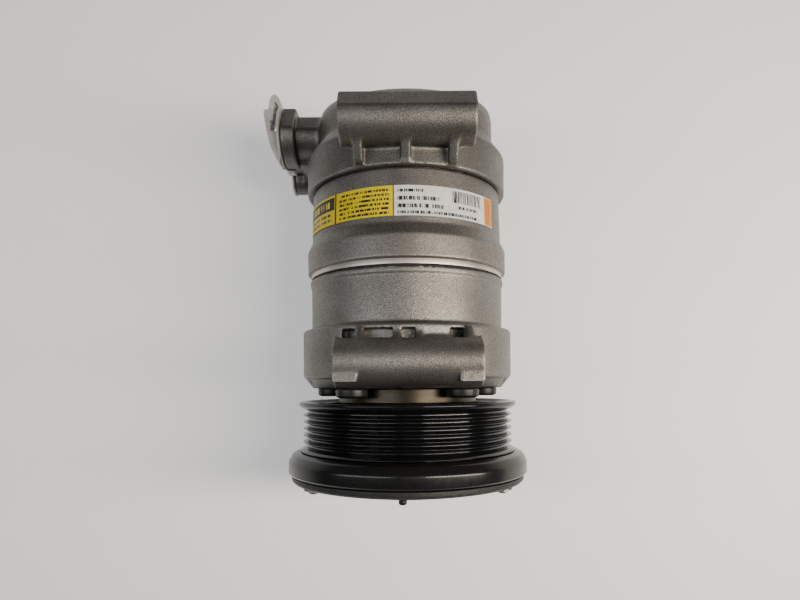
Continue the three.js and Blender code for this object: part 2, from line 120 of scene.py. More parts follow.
SUCTION = {"centre": (0, 201.5, -3), "lobe": 15.8, "neck": 11, "port": 6.5}
DISCHARGE = {"centre": (0, 190.3, -37), "lobe": 8.5, "neck": 7.2, "port": 5.2}
PORT_WEB = {"centre": (0, 196.6, -20), "lobe": 7.6}
ARMATURE_FRONT = low("armature_plate", 1)
ARMATURE_REAR = high("armature_plate", 1)
FRICTION_FACE = low("pulley_rotor", 1)
RIVET_PITCH = 55
RIVET_ANGLES = (-60, 60, 180)
PIN_PITCH = 56.6
PIN_ANGLE = -2.4
CONNECTOR_ANGLE = 144
FIRST_VALLEY = 31.42
GROOVE_PITCH = 3.56
GROOVES = 6
LABEL_LOW = low("label", 1)
LABEL_HIGH = high("label", 1)
LABEL_FIRST = -75                             # the label's two ends, in degrees round the body
LABEL_LAST = 57


def at(radius, degrees):
    angle = math.radians(degrees)
    return radius * math.sin(angle), radius * math.cos(angle)


# ---- distance fields ------------------------------------------------------------------------

def union(a, b, k=0.0):
    if k == 0:
        return np.minimum(a, b)
    h = np.clip(0.5 + 0.5 * (b - a) / k, 0, 1)
    return b + (a - b) * h - k * h * (1 - h)


def cut(a, b, k=0.0):
    return -union(-a, b, k)


def common(a, b, k=0.0):
    return -union(-a, -b, k)


def rod_along(axis, p, centre, radius, lo, hi, edge=0.5):
    """A round bar along one axis, with its edges rounded."""
    others = [i for i in range(3) if i != axis]
    across = np.sqrt(sum((p[i] - centre[i]) ** 2 for i in others)) - radius + edge
    along = np.abs(p[axis] - (lo + hi) / 2) - (hi - lo) / 2 + edge
    outside = np.sqrt(np.maximum(across, 0) ** 2 + np.maximum(along, 0) ** 2)
    return outside + np.minimum(np.maximum(across, along), 0) - edge


def block(p, lo, hi, edge=0.8):
    q = [np.abs(p[i] - (lo[i] + hi[i]) / 2) - (hi[i] - lo[i]) / 2 + edge for i in range(3)]
    outside = np.sqrt(sum(np.maximum(v, 0) ** 2 for v in q))
    return outside + np.minimum(np.maximum(np.maximum(q[0], q[1]), q[2]), 0) - edge


def rounded(points, radius):
    """Replaces each corner of a closed outline by an arc. radius is one number or one per corner."""
    out = []
    count = len(points)
    for i, corner in enumerate(points):
        r = radius[i] if isinstance(radius, (list, tuple)) else radius
        here = np.array(corner, float)
        to_last = np.array(points[i - 1], float) - here
        to_next = np.array(points[(i + 1) % count], float) - here
        last_length, next_length = np.linalg.norm(to_last), np.linalg.norm(to_next)
        to_last, to_next = to_last / last_length, to_next / next_length
        angle = math.acos(np.clip(to_last @ to_next, -1, 1))
        if r == 0 or angle > math.pi - 0.05 or here[0] < 1e-6:
            out.append(here)
            continue
        reach = min(r / math.tan(angle / 2), 0.48 * last_length, 0.48 * next_length)
        r = reach * math.tan(angle / 2)
        middle = here + (to_last + to_next) / np.linalg.norm(to_last + to_next) * r / math.sin(angle / 2)
        start, end = here + to_last * reach - middle, here + to_next * reach - middle
        a0, a1 = math.atan2(start[1], start[0]), math.atan2(end[1], end[0])
        sweep = (a1 - a0 + math.pi) % (2 * math.pi) - math.pi
        for step in range(5):
            a = a0 + sweep * step / 4
            out.append(middle + r * np.array([math.cos(a), math.sin(a)]))
    return np.array(out)


class Lathe:
    """The distance to a closed outline of (radius, y) turned about the Y axis."""

    STEP = 0.2

    def __init__(self, outline, radius=0.0, margin=14):
        points = rounded(outline, radius)
        self.low = points.min(axis=0) - margin
        high_corner = points.max(axis=0) + margin
        r = np.arange(self.low[0], high_corner[0], self.STEP)
        y = np.arange(self.low[1], high_corner[1], self.STEP)
        self.table = self.outline_distance(points, r[:, None], y[None, :])

    @staticmethod
    def outline_distance(points, r, y):
        best = np.full(np.broadcast(r, y).shape, 1e9)
        inside = np.zeros(best.shape, bool)
        for (ar, ay), (br, by) in zip(points, np.roll(points, -1, axis=0)):
            er, ey = br - ar, by - ay
            wr, wy = r - ar, y - ay
            t = np.clip((wr * er + wy * ey) / max(er * er + ey * ey, 1e-12), 0, 1)
            if not (ar < 1e-6 and br < 1e-6):        # an edge on the axis isn't a surface
                best = np.minimum(best, (wr - er * t) ** 2 + (wy - ey * t) ** 2)
            crosses = (ay > y) != (by > y)
            if ey != 0:
                inside ^= crosses & (r < ar + (y - ay) / ey * er)
        return np.where(inside, -1, 1) * np.sqrt(best)

    def __call__(self, p, shift=(0, 0)):
        r = np.sqrt((p[0] - shift[0]) ** 2 + (p[2] - shift[1]) ** 2)
        r, y = np.broadcast_arrays(r, p[1])
        u = np.clip((r - self.low[0]) / self.STEP, 0, self.table.shape[0] - 1.001)
        v = np.clip((y - self.low[1]) / self.STEP, 0, self.table.shape[1] - 1.001)
        i, j = u.astype(int), v.astype(int)
        fu, fv = u - i, v - j
        t = self.table
        return ((t[i, j] * (1 - fu) + t[i + 1, j] * fu) * (1 - fv)
                + (t[i, j + 1] * (1 - fu) + t[i + 1, j + 1] * fu) * fv)


def surface(field, lo, hi, cell=CELL):
    """The zero surface of a field as vertices and quads: naive surface nets, then drawn onto it."""
    axes = [np.arange(lo[i] - 2 * cell, hi[i] + 2.5 * cell, cell) for i in range(3)]
    x, y, z = np.meshgrid(*axes, indexing="ij", sparse=True)
    value = np.broadcast_to(field((x, y, z)), tuple(len(a) for a in axes)).astype(np.float32)
    solid = value < 0
    corners = [(i, j, k) for i in (0, 1) for j in (0, 1) for k in (0, 1)]
    shape = tuple(n - 1 for n in solid.shape)

    def at_corner(array, c):
        return array[c[0]:c[0] + shape[0], c[1]:c[1] + shape[1], c[2]:c[2] + shape[2]]

    filled = sum(at_corner(solid, c).astype(np.int8) for c in corners)
    active = (filled > 0) & (filled < 8)
    index = np.full(shape, -1, np.int64)
    cells = np.argwhere(active)
    index[active] = np.arange(len(cells))
    total = np.zeros((len(cells), 3))
    crossings = np.zeros(len(cells))
    for a, c in enumerate(corners):
        for d in corners[a + 1:]:
            if sum(abs(c[i] - d[i]) for i in range(3)) != 1:
                continue
            va, vb = at_corner(value, c)[active], at_corner(value, d)[active]
            crosses = (va < 0) != (vb < 0)
            t = np.where(crosses, va / np.where(crosses, va - vb, 1), 0)
            point = np.array(c)[None, :] + t[:, None] * (np.array(d) - np.array(c))[None, :]
            total += np.where(crosses[:, None], point, 0)
            crossings += crosses
    origin = np.array([a[0] for a in axes])
    points = origin + (cells + total / crossings[:, None]) * cell
    quads = []
    for axis in range(3):
        u, v = [i for i in range(3) if i != axis]
        here = [slice(1, n - 1) for n in solid.shape]
        ahead = list(here)
        here[axis], ahead[axis] = slice(0, -1), slice(1, None)
        first, second = solid[tuple(here)], solid[tuple(ahead)]
        where = np.argwhere(first != second)
        starts = first[first != second]
        base = where.copy()
        base[:, u] += 1
        base[:, v] += 1
        ring = []
        for du, dv in ((-1, -1), (0, -1), (0, 0), (-1, 0)):
            c = base.copy()
            c[:, u] += du
            c[:, v] += dv
            ring.append(index[c[:, 0], c[:, 1], c[:, 2]])
        quad = np.stack(ring, axis=1)
        flip = starts if axis == 1 else ~starts
        quad[flip] = quad[flip][:, ::-1]
        quads.append(quad)
    for _ in range(3):
        p = tuple(points[:, i] for i in range(3))
        f = field(p)
        step = 0.05
        gradient = np.zeros_like(points)
        for i in range(3):
            ahead = [points[:, k] + (step if k == i else 0) for k in range(3)]
            behind = [points[:, k] - (step if k == i else 0) for k in range(3)]
            gradient[:, i] = (field(ahead) - field(behind)) / (2 * step)
        size = np.maximum((gradient ** 2).sum(axis=1), 0.25)
        move = gradient * (f / size)[:, None]
        length = np.maximum(np.linalg.norm(move, axis=1), 1e-9)
        points -= move * np.minimum(1, 0.6 * cell / length)[:, None]
    return points, np.concatenate(quads)


# ---- meshes ---------------------------------------------------------------------------------

def piece(name, points, faces, body, material, replaced=(), sharp=35):
    """Makes an object from points in millimetres, and gives it its body, finish and CAD nodes."""
    mesh = bpy.data.meshes.new(name)
    points = np.asarray(points, float) * MM
    if isinstance(faces, np.ndarray):
        mesh.vertices.add(len(points))
        mesh.vertices.foreach_set("co", points.ravel())
        mesh.loops.add(faces.size)
        mesh.loops.foreach_set("vertex_index", faces.ravel().astype(np.int32))
        mesh.polygons.add(len(faces))
        starts = np.arange(0, faces.size, faces.shape[1], dtype=np.int32)
        mesh.polygons.foreach_set("loop_start", starts)
        mesh.update(calc_edges=True)
    else:
        mesh.from_pydata([tuple(p) for p in points], [], faces)
    mesh.validate()
    obj = bpy.data.objects.new(name, mesh)
    bpy.context.scene.collection.objects.link(obj)
    finish_mesh(obj, sharp)
    return dress(obj, body, material, replaced)


def finish_mesh(obj, sharp):
    work = bmesh.new()
    work.from_mesh(obj.data)
    bmesh.ops.remove_doubles(work, verts=work.verts, dist=1e-7)
    bmesh.ops.recalc_face_normals(work, faces=work.faces)
    work.to_mesh(obj.data)
    work.free()
    obj.data.polygons.foreach_set("use_smooth", [True] * len(obj.data.polygons))
    obj.data.set_sharp_from_angle(angle=math.radians(sharp))


def dress(obj, body, material, replaced=()):
    obj.data.materials.clear()
    obj.data.materials.append(material)
    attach(obj, body)
    if replaced:
        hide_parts(*replaced)
    return obj


def turn(outline, sides=TURNS, centre=(0, 0), radius=0.4):
    """Points and faces of an outline of (radius, y) turned about the Y axis."""
    outline = rounded(outline, radius)
    points, faces = [], []
    rows = []
    for r, y in outline:
        if r < 1e-6:
            rows.append([len(points)] * sides)
            points.append((centre[0], y, centre[1]))
            continue
        rows.append(list(range(len(points), len(points) + sides)))
        for s in range(sides):
            x, z = at(r, 360 * s / sides)
            points.append((centre[0] + x, y, centre[1] + z))
    for a, b in zip(rows, rows[1:] + rows[:1]):
        if a[0] == a[1] and b[0] == b[1]:
            continue
        for s in range(sides):
            t = (s + 1) % sides
            face = []
            for v in (a[s], b[s], b[t], a[t]):
                if v not in face:
                    face.append(v)
            faces.append(face)
    return points, faces


def turned_piece(name, outline, body, material, replaced=(), sides=TURNS, centre=(0, 0),
                 radius=0.4, sharp=35):
    points, faces = turn(outline, sides, centre, radius)
    return piece(name, points, faces, body, material, replaced, sharp)


# ---- materials ------------------------------------------------------------------------------

class Shader:
    """A material's node tree around one Principled shader."""

    def __init__(self, name):
        self.material = bpy.data.materials.new(name)
        self.material.use_nodes = True
        self.tree = self.material.node_tree
        self.main = self.tree.nodes["Principled BSDF"]
        self.place = self.tree.nodes.new("ShaderNodeTexCoord").outputs["Object"]

    def node(self, kind, **values):
        made = self.tree.nodes.new(kind)
        for key, value in values.items():
            if hasattr(made, key):
                setattr(made, key, value)
            else:
                made.inputs[key].default_value = value
        return made

    def link(self, source, target):
        self.tree.links.new(source, target)

    def set(self, **values):
        for key, value in values.items():
            self.main.inputs[key.replace("_", " ")].default_value = value

    def noise(self, scale, detail=3, rough=0.6, stretch=None):
        made = self.node("ShaderNodeTexNoise", Scale=scale, Detail=detail, Roughness=rough)
        source = self.place
        if stretch:
            mapping = self.node("ShaderNodeMapping")
            mapping.inputs["Scale"].default_value = stretch
            self.link(self.place, mapping.inputs["Vector"])
            source = mapping.outputs["Vector"]
        self.link(source, made.inputs["Vector"])
        return made.outputs["Fac"]

    def cells(self, scale):
        made = self.node("ShaderNodeTexVoronoi", Scale=scale)
        self.link(self.place, made.inputs["Vector"])
        return made.outputs["Distance"]

    def ramp(self, source, *stops):
        made = self.node("ShaderNodeValToRGB")
        elements = made.color_ramp.elements
        while len(elements) < len(stops):
            elements.new(0.5)
        for element, (place, value) in zip(elements, stops):
            element.position = place
            colour = value if isinstance(value, tuple) else (value, value, value)
            element.color = (*colour, 1)
        self.link(source, made.inputs["Fac"])
        return made.outputs["Color"]

    def mix(self, factor, a, b, blend="MIX"):
        made = self.node("ShaderNodeMix")
        made.data_type = "RGBA"
        made.blend_type = blend
        sockets = [s for s in made.inputs if s.enabled]
        for socket, value in zip((made.inputs["Factor"], sockets[1], sockets[2]), (factor, a, b)):
            if isinstance(value, bpy.types.NodeSocket):
                self.link(value, socket)
            elif isinstance(value, tuple):
                socket.default_value = (*value, 1)
            else:
                socket.default_value = value
        return [s for s in made.outputs if s.enabled][0]

    def edges(self):
        """Bright where the surface is convex, for worn edges."""
        return self.node("ShaderNodeNewGeometry").outputs["Pointiness"]

    def math(self, operation, a, b):
        made = self.node("ShaderNodeMath")
        made.operation = operation
        for socket, value in zip(made.inputs, (a, b)):
            if isinstance(value, bpy.types.NodeSocket):
                self.link(value, socket)
            else:
                socket.default_value = value
        return made.outputs[0]

    def colour(self, source):
        self.link(source, self.main.inputs["Base Color"])

    def roughness(self, source):
        self.link(source, self.main.inputs["Roughness"])

    def bump(self, height, strength, distance):
        made = self.node("ShaderNodeBump", Strength=strength, Distance=distance)
        self.link(height, made.inputs["Height"])
        self.link(made.outputs["Normal"], self.main.inputs["Normal"])


def cast_aluminium(name="cast_aluminium", tint=(1.0, 0.965, 0.905), level=1.0):
    s = Shader(name)
    s.set(Metallic=0.92)
    grain = s.noise(2100, 3, 0.6)
    pits = s.cells(1700)
    clouds = s.noise(60, 4, 0.6)
    light = tuple(0.33 * level * c for c in tint)
    middle = tuple(0.23 * level * c for c in tint)
    dark = tuple(0.12 * level * c for c in tint)
    base = s.ramp(grain, (0.34, dark), (0.50, middle), (0.68, light))
    spots = s.ramp(pits, (0.08, (0.6, 0.6, 0.6)), (0.26, (1, 1, 1)))
    base = s.mix(0.7, base, spots, "MULTIPLY")
    drift = s.ramp(clouds, (0.3, (0.72, 0.71, 0.69)), (0.7, (1.0, 1.0, 1.0)))
    base = s.mix(0.9, base, drift, "MULTIPLY")
    worn = s.ramp(s.edges(), (0.515, (0, 0, 0)), (0.56, (1, 1, 1)))
    base = s.mix(s.math("MULTIPLY", worn, 0.22), base, tuple(0.42 * c for c in tint))
    s.colour(base)
    s.roughness(s.ramp(grain, (0.3, 0.56), (0.7, 0.40)))
    s.bump(s.math("ADD", s.math("MULTIPLY", grain, 0.7), s.math("MULTIPLY", pits, 0.5)), 0.55, 0.00022)
    return s.material


def machined(name, colour, rough=0.32, stretch=(1, 60, 1), scale=90):
    s = Shader(name)
    s.set(Metallic=1.0)
    lines = s.noise(scale, 4, 0.7, stretch)
    clouds = s.noise(120, 3, 0.6)
    base = s.ramp(lines, (0.25, tuple(0.72 * c for c in colour)), (0.75, colour))
    base = s.mix(0.6, base, s.ramp(clouds, (0.3, (0.75, 0.74, 0.72)), (0.7, (1, 1, 1))), "MULTIPLY")
    s.colour(base)
    s.roughness(s.ramp(lines, (0.2, rough + 0.14), (0.8, rough - 0.06)))
    s.bump(lines, 0.2, 0.00005)
    return s.material


def black_paint(name, colour=(0.004, 0.004, 0.005), rough=0.15, orange_peel=0.05, wear=0.05):
    s = Shader(name)
    s.set(IOR=1.42, Specular_IOR_Level=0.42)
    peel = s.noise(700, 3, 0.6)
    dust = s.noise(3200, 2, 0.5)
    base = s.ramp(dust, (0.45, colour), (0.80, tuple(3.2 * c for c in colour)))
    worn = s.ramp(s.edges(), (0.53, (0, 0, 0)), (0.60, (1, 1, 1)))
    base = s.mix(s.math("MULTIPLY", worn, wear), base, (0.16, 0.155, 0.145))
    s.colour(base)
    s.roughness(s.ramp(s.noise(260, 3, 0.5), (0.3, rough - 0.02), (0.7, rough + 0.03)))
    s.bump(peel, orange_peel, 0.0001)
    return s.material


def rough_black(name):
    """The armature's etched edge: black, coarse and slightly worn through."""
    s = Shader(name)
    s.set(Metallic=0.25)
    grain = s.noise(1100, 4, 0.7)
    black, dark, worn = (0.008, 0.008, 0.008), (0.022, 0.021, 0.02), (0.09, 0.085, 0.075)
    s.colour(s.ramp(grain, (0.42, black), (0.66, dark), (0.82, worn)))
    s.roughness(s.ramp(grain, (0.3, 0.62), (0.7, 0.4)))
    s.bump(grain, 0.7, 0.0003)
    return s.material


def plain(name, colour, rough, metallic=0.0, grain=900, bump=0.15, variety=0.8):
    s = Shader(name)
    s.set(Metallic=metallic)
    noise = s.noise(grain, 3, 0.6)
    s.colour(s.ramp(noise, (0.3, tuple(variety * c for c in colour)), (0.7, colour)))
    s.roughness(s.ramp(noise, (0.3, min(1, rough + 0.08)), (0.7, max(0.02, rough - 0.06))))
    s.bump(noise, bump, 0.00008)
    return s.material


def cap_plastic():
    s = Shader("cap_plastic")
    s.set(Subsurface_Weight=0.25, Subsurface_Scale=0.003, Transmission_Weight=0.12, IOR=1.5)
    clouds = s.noise(220, 3, 0.6)
    s.colour(s.ramp(clouds, (0.3, (0.50, 0.50, 0.475)), (0.7, (0.64, 0.64, 0.61))))
    s.roughness(s.ramp(clouds, (0.3, 0.5), (0.7, 0.36)))
    s.bump(s.noise(900, 2, 0.5), 0.12, 0.0001)
    return s.material


CAST = cast_aluminium()
# painted shade: the same cast aluminium at 0.8 of its brightness, so the rear head looks as if it lies in
# shade
CAST_PAINTED_SHADE = cast_aluminium("cast_aluminium_rear_painted_shade", level=0.8)
STEEL = machined("machined_steel", (0.56, 0.55, 0.53))
COIL_STEEL = machined("coil_steel", (0.055, 0.048, 0.037), 0.30, (1, 80, 1), 60)
RING_STEEL = machined("machined_ring", (0.66, 0.62, 0.56), 0.38, (1, 110, 1), 60)
PAINT = black_paint("clutch_paint")
BAND_PAINT = black_paint("band_paint", (0.005, 0.005, 0.005), 0.22, 0.06)
OXIDE = black_paint("black_oxide", (0.006, 0.006, 0.006), 0.36, 0.15, 0.12)
ARMATURE_EDGE = rough_black("armature_black")
RUBBER = plain("seal_rubber", (0.02, 0.02, 0.02), 0.8)
BLACK_PLASTIC = plain("black_plastic", (0.02, 0.02, 0.021), 0.5)
BRASS = plain("brass_turned", (0.52, 0.40, 0.18), 0.3, 1.0, 500)
COPPER = plain("copper_wire", (0.38, 0.14, 0.06), 0.35, 0.9, 1400, 0.5)
COATING = plain("piston_coating", (0.14, 0.15, 0.16), 0.45, 0.4)
SPRING_STEEL = machined("spring_steel", (0.24, 0.24, 0.245), 0.3, (30, 1, 1), 120)
BRIGHT_RIVET = machined("bright_rivet", (0.78, 0.77, 0.74), 0.2, (1, 1, 1), 400)
CAP_PLASTIC = cap_plastic()


# ---- castings -------------------------------------------------------------------------------

def bolt_holes(f, p, lo, hi):
    for degrees in BOLT_ANGLES:
        x, z = at(BOLT_PITCH, degrees)
        f = cut(f, rod_along(1, p, (x, 0, z), BOLT_HOLE, lo, hi, 0), 0.3)
    return f


def front_head():
    """The ring with its gussets, the mounting tube with its ribs, and the wall behind them."""
    ring_front, ring_rear = 68, 91.5
    pocket_pitch, pocket_radius = 58.5, 7.5                   # shallow pockets round the front chamfer
    pad_length = 11                                           # square pads at the tube's two ends
    ribs = ((-23.6, -20.8), (-5.9, -3.0), (4.5, 7.0), (27.4, 31))
    slots = ((-30.5, -24.2), (-20.3, -6.4), (-2.5, 4.0), (20, 26.8))      # pockets between the ribs
    shell = Lathe([
        (9.6, NOSE_FRONT), (16.8, NOSE_FRONT), (16.8, 56), (21, 60.5), (21, HEAD_FRONT), (51.4, HEAD_FRONT),
        (RING_RADIUS, ring_front), (RING_RADIUS, ring_rear), (51.8, ring_rear + 1.2), (51.8, 115),
        (52.5, 116.2), (52.5, HEAD_REAR), (CAVITY_RADIUS, HEAD_REAR), (CAVITY_RADIUS, CAVITY_FRONT),
        (16, CAVITY_FRONT), (16, 66), (9.6, 66),
    ], [0.4, 0.6, 2, 1, 0.4, 1.2, 1.6, 1.4, 0.8, 0.4, 0.4, 0.3, 0.3, 2, 0.4, 0.4, 0.4])
    x0, x1 = FRONT_TUBE_X

    def field(p):
        x, y, z = p
        f = shell(p)
        for degrees in (-72, -18, 18, 72, 144, -144):
            px, pz = at(pocket_pitch, degrees)
            f = cut(f, rod_along(1, p, (px, 0, pz), pocket_radius, 56, 66.5, 2), 1.6)
        tube = rod_along(0, p, (0, FRONT_TUBE_Y, TUBE_Z), TUBE_RADIUS, x0, x1, 0.7)
        web = block(p, (x0 + 2, 66, 42), (x1 - 2, 81.5, 56), 1.5)
        web = cut(web, rod_along(1, p, (0, 0, 0), CAVITY_RADIUS + 1, 0, 200, 0))
        body = union(tube, web, 1.5)
        for lo, hi in ((x0, x0 + pad_length), (x1 - pad_length, x1)):
            pad = block(p, (lo, FRONT_TUBE_Y - 9.4, TUBE_Z - 8.6), (hi, FRONT_TUBE_Y + 2, TUBE_Z + 10.5), 0.5)
            body = union(body, pad, 0.5)
        for lo, hi in ribs:
            rib = block(p, (lo, 76, 44), (hi, 90.5, 58.5), 0.9)
            slope = (z - 58.5) * 0.55 + (y - 85.5) * 0.84     # the ribs fall away towards the rear
            body = union(body, common(rib, slope, 0.8), 1.2)
        f = union(f, body, 1.8)
        for side in (-1, 1):                                  # gussets from the ring out to the tube's ends
            near, far = sorted((side * 14, side * 52))
            lean = side * x * 0.62 + z * 0.785 - 60.2
            gusset = common(block(p, (near, 67, 16), (far, 80, 54), 1.5), lean, 1.5)
            gusset = common(gusset, np.sqrt(x ** 2 + z ** 2) - RING_RADIUS + 0.2)
            f = union(f, gusset, 1.0)
        nub = block(p, (-3.5, 61.9, 46), (3, 66, 57), 1.2)
        f = union(f, nub, 1.0)
        for lo, hi in slots:
            slot = block(p, (lo, 84.6, 40), (hi, 89.6, 70), 0.8)
            f = cut(f, common(slot, CAVITY_RADIUS + 1.5 - np.sqrt(x ** 2 + z ** 2)), 0.5)
        seam = np.abs(z - TUBE_Z - 9.2) + 0.35 * np.abs(y - 76.5)   # casting's parting line along the tube
        f = np.where(seam < 0.5, f - 0.18 * (0.5 - seam), f)
        f = cut(f, rod_along(0, p, (0, FRONT_TUBE_Y, TUBE_Z), TUBE_BORE, x0 - 5, x1 + 5, 0), 0.5)
        f = cut(f, rod_along(1, p, (0, 0, 0), CAVITY_RADIUS, CAVITY_FRONT, HEAD_REAR + 9, 0))
        return bolt_holes(f, p, HEAD_FRONT - 3, HEAD_REAR + 3)

    lo = (-RING_RADIUS, NOSE_FRONT, -RING_RADIUS)
    hi = (RING_RADIUS, HEAD_REAR, TUBE_TOP)
    points, faces = surface(field, lo, hi)
    piece("front_housing_casting", points, faces, "housing", CAST, ("front_head",),
          sharp=60)


def cylinder_block():
    """The middle casting with its five bores, and the bright machined ring at its front end."""
    shell = Lathe([
        (10.4, BLOCK_FRONT), (51.6, BLOCK_FRONT), (51.6, 122), (53.8, 122.4), (53.8, 133.4), (52.4, 136.4),
        (51.3, 138.8), (50.5, BLOCK_REAR), (10.4, BLOCK_REAR),
    ], [0.4, 0.3, 0.3, 0.7, 2.5, 2.5, 2.5, 0.5, 0.4])

    def field(p):
        f = shell(p)
        for index in range(CYLINDERS):
            x, z = at(CYLINDER_PITCH, 360 / CYLINDERS * index)
            f = cut(f, rod_along(1, p, (x, 0, z), BORE, BLOCK_FRONT - 4, BLOCK_REAR + 4, 0), 0.3)
        return bolt_holes(f, p, BLOCK_FRONT - 3, BLOCK_REAR + 3)

    lo, hi = (-53.8, BLOCK_FRONT, -53.8), (53.8, BLOCK_REAR, 53.8)
    points, faces = surface(field, lo, hi)
    piece("cylinder_block_casting", points, faces, "housing", CAST, ("cylinder_block",),
          sharp=60)
    turned_piece("machined_spigot", [
        (51.2, BLOCK_FRONT), (52, BLOCK_FRONT), (52, 122.1), (51.2, 122.1),
    ], "housing", RING_STEEL, radius=0.15)


def port_plate(p, x0, x1, out, edge):
    """The flange's outline, two round lobes and a web, let out all round."""
    big, small, web = (rod_along(0, p, part["centre"], part["lobe"] + out, x0, x1, edge)
                       for part in (SUCTION, DISCHARGE, PORT_WEB))
    return union(union(big, web, 5), small, 5)


def port_flange(p):
    flange = port_plate(p, PORT_OUT, PORT_BACK, 0, 1.0)
    flange = common(flange, block(p, (PORT_OUT, 165, -46), (PORT_BACK, 230, 20), 1.0))
    top = 0.55 * (p[1] - 206.5) + 0.835 * (p[2] - 9.2)        # a flat along the flange's upper rear side
    flange = common(flange, top, 0.8)
    neck = rod_along(0, p, SUCTION["centre"], SUCTION["neck"], PORT_BACK - 2, -30, 0.5)
    neck = common(neck, top + 3.4, 0.6)
    lower = rod_along(0, p, DISCHARGE["centre"], DISCHARGE["neck"], PORT_BACK - 2, -22, 0.5)
    neck = union(neck, lower, 2)
    neck = union(neck, block(p, (PORT_BACK - 1, 187, -36), (-30, 203, -4), 3), 2)
    return union(flange, neck, 1.2)


def rear_head():
    """The rear casting: mounting tube, port flange, bevelled end, and two gas chambers inside."""
    shell = Lathe([
        (0, REAR_FRONT), (RIM_RADIUS, REAR_FRONT), (RIM_RADIUS, 182.6), (47.4, 190.8), (47, 193),
        (47, REAR_END), (0, REAR_END),
    ], [0, 0.3, 1.4, 2.0, 2.0, 10.5, 0])
    recess = Lathe([(0, 150), (RECESS_RADIUS, 150), (RECESS_RADIUS, REAR_FLOOR), (0, REAR_FLOOR)], 0.3)
    chamber_end = 185.9
    inner = Lathe([(8, 170), (22, 170), (22, chamber_end), (8, chamber_end)], 1.5)
    outer = Lathe([(26, 170), (43, 170), (43, chamber_end), (26, chamber_end)], 1.5)
    x0, x1 = REAR_TUBE_X
    rib_half = 2.1

    def field(p):
        x, y, z = p
        f = shell(p)
        bevel = (np.sqrt(x ** 2 + (z + 35) ** 2) - 64 - (REAR_END - y)) * 0.7071      # along an arc
        f = common(f, bevel, 5)
        for rx in (-30, -6, 6, 30):                         # low ribs across the rear face
            rib = block(p, (rx - 1.3, 203, -34), (rx + 1.3, REAR_END - 0.05, 20), 1.0)
            f = union(f, rib, 2)
        f = cut(f, block(p, (-37, REAR_END - 1.6, -26), (37, REAR_END + 5, 18), 1.4), 1.2)
        for (vx, vz), radius in ((CONTROL_VALVE, 11.5), (RELIEF_VALVE, 10)):     # the valves' bosses
            f = union(f, rod_along(1, p, (vx, 0, vz), radius, 200, REAR_END - 0.05, 1.2), 2)
        tube = rod_along(0, p, (0, REAR_TUBE_Y, TUBE_Z), TUBE_RADIUS, x0, x1, 0.8)
        facet = 0.592 * (y - REAR_TUBE_Y - 1.5) + 0.806 * (z - TUBE_Z - 11.4)   # flat on its rear side
        tube = common(tube, facet, 0.4)
        web = block(p, (x0 + 2, 180, 38), (x1 - 2, 194.5, 52), 2)
        tube = union(tube, web, 1.5)
        for rx in (-22, 0, 22):
            rib = block(p, (rx - rib_half, 166, 42), (rx + rib_half, 186, 64.4), 0.8)
            slope = (z - 54.6) * 0.8 - (y - 167) * 0.6
            tube = union(tube, common(rib, slope * 0.9, 0.6), 1.0)
        f = union(f, tube, 1.8)
        right = block(p, (30, 181, 20), (47.5, 202, 38), 6)    # the shoulder beside the tube
        f = union(f, common(right, np.sqrt(x ** 2 + z ** 2) - 47.5, 2), 2.5)
        f = union(f, port_flange(p), 3.0)
        f = cut(f, recess(p))
        f = cut(f, inner(p))
        f = cut(f, outer(p))
        f = cut(f, rod_along(0, p, (0, REAR_TUBE_Y, TUBE_Z), TUBE_BORE, x0 - 5, x1 + 5, 0), 0.5)
        for port in (SUCTION, DISCHARGE):
            f = cut(f, rod_along(0, p, port["centre"], port["port"], PORT_OUT - 4, -50, 0.5), 0.5)
        for (vx, vz), bore, depth in ((CONTROL_VALVE, CONTROL_BORE, 190), (RELIEF_VALVE, RELIEF_BORE, 204)):
            f = cut(f, rod_along(1, p, (vx, 0, vz), bore, depth, REAR_END + 5, 0), 0.5)
        return bolt_holes(f, p, REAR_FRONT - 3, 181)

    lo = (PORT_OUT, REAR_FRONT, -RIM_RADIUS)
    hi = (RIM_RADIUS, REAR_END, TUBE_TOP)
    points, faces = surface(field, lo, hi)
    # the rear head takes the darker copy of the casting finish, which is painted shade
    piece("rear_head_casting", points, faces, "housing", CAST_PAINTED_SHADE,
          ("rear_head", "port_flange"), sharp=60)


# ---- clutch ---------------------------------------------------------------------------------

def pulley():
    """The rotor: a friction face, six grooves and a flange outside, and a hollow for the coil."""
    ridge, valley = 56.9, 54.2
    outline = [(26.4, FRICTION_FACE), (52.6, FRICTION_FACE), (52.6, 28.3), (59.2, 28.3)]
    radii = [0.5, 0.3, 0, 0.3]
    for groove in range(GROOVES):
        y = FIRST_VALLEY + groove * GROOVE_PITCH
        outline += [(ridge, y - GROOVE_PITCH / 2 + 0.16), (valley, y - 0.32), (valley, y + 0.32),
                    (ridge, y + GROOVE_PITCH / 2 - 0.16)]
        radii += [0.16, 0.25, 0.25, 0.16]
    outline += [(58.5, 51.9), (59.3, 53.1), (58.8, 54.4), (56.4, 54.6), (50.6, 49), (50.6, 24), (31, 24),
                (31, 52), (26.4, 52)]
    radii += [0.8, 1.0, 0.7, 0.7, 1, 2, 2, 0.6, 0.6]
    turned_piece("pulley_grooved_rotor", outline, "pulley", PAINT, ("pulley_rotor",),
                 radius=radii, sharp=40)


def rim_band():
    turned_piece("pulley_rim_band_turned", [
        (52.9, 16.3), (63.8, 16.3), (64.8, 17.3), (64.8, 23), (62.6, 26.7), (59.6, 28), (52.9, 28),
    ], "pulley", BAND_PAINT, ("rim_band",), radius=[0.2, 0.5, 0.6, 3.5, 2.5, 0.6, 0.2])


